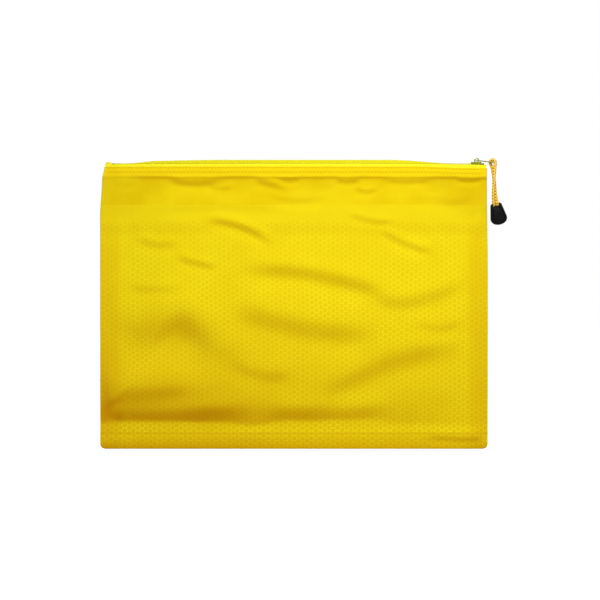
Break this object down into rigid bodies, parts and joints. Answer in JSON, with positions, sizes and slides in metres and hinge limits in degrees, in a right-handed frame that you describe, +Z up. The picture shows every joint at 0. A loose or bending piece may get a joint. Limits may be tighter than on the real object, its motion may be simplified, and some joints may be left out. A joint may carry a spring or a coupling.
{
  "type": "zipper document bag",
  "caption": "Flat A4 document bag of meshed plastic sheet, closed along its top by a zip with a slider, pull tab, cord loop and moulded cord end.",
  "frame": {"origin": "middle of the bag's bottom edge, which it stands on, half way between front and back", "axes": "+X to the right along the zip, towards its closed end; -Y is the front; +Z up"},
  "size_m": [0.3507, 0.0175, 0.2515],
  "materials": {
    "mesh_sheet": "satin",
    "plain_sheet": "satin",
    "zip_tape": "woven",
    "zip_coil": "satin",
    "slider_paint": "satin",
    "cord": "braided",
    "cord_end": "satin"
  },
  "bodies": {
    "bag": {"front_mesh_panel": "mesh_sheet", "back_mesh_panel": "mesh_sheet", "front_top_strip": "plain_sheet", "back_top_strip": "plain_sheet", "front_zip_tape": "zip_tape", "back_zip_tape": "zip_tape", "front_zip_teeth": "zip_coil", "back_zip_teeth": "zip_coil", "front_top_stop": "slider_paint", "back_top_stop": "slider_paint", "bottom_stop": "slider_paint"},
    "slider": {"slider_body": "slider_paint"},
    "tab": {"pull_tab": "slider_paint"},
    "pull": {"pull_cord": "cord", "cord_end_body": "cord_end", "cord_end_cover": "cord_end"}
  },
  "joints": [
    {"name": "slider_travel", "type": "slide", "parent": "bag", "child": "slider", "axis": [1, 0, 0], "range_m": [-0.3075, 0], "deforming": ["front_zip_teeth", "back_zip_teeth"]},
    {"name": "tab_flip", "type": "hinge", "parent": "slider", "child": "tab", "pos_m": [0.1578, 0, 0.24925], "axis": [0, -1, 0], "range_deg": [0, 180]},
    {"name": "cord_swing", "type": "hinge", "parent": "tab", "child": "pull", "pos_m": [0.1713, -0.00491, 0.24723], "axis": [0, -1, 0], "range_deg": [-35, 165], "deforming": ["pull_cord"]}
  ]
}
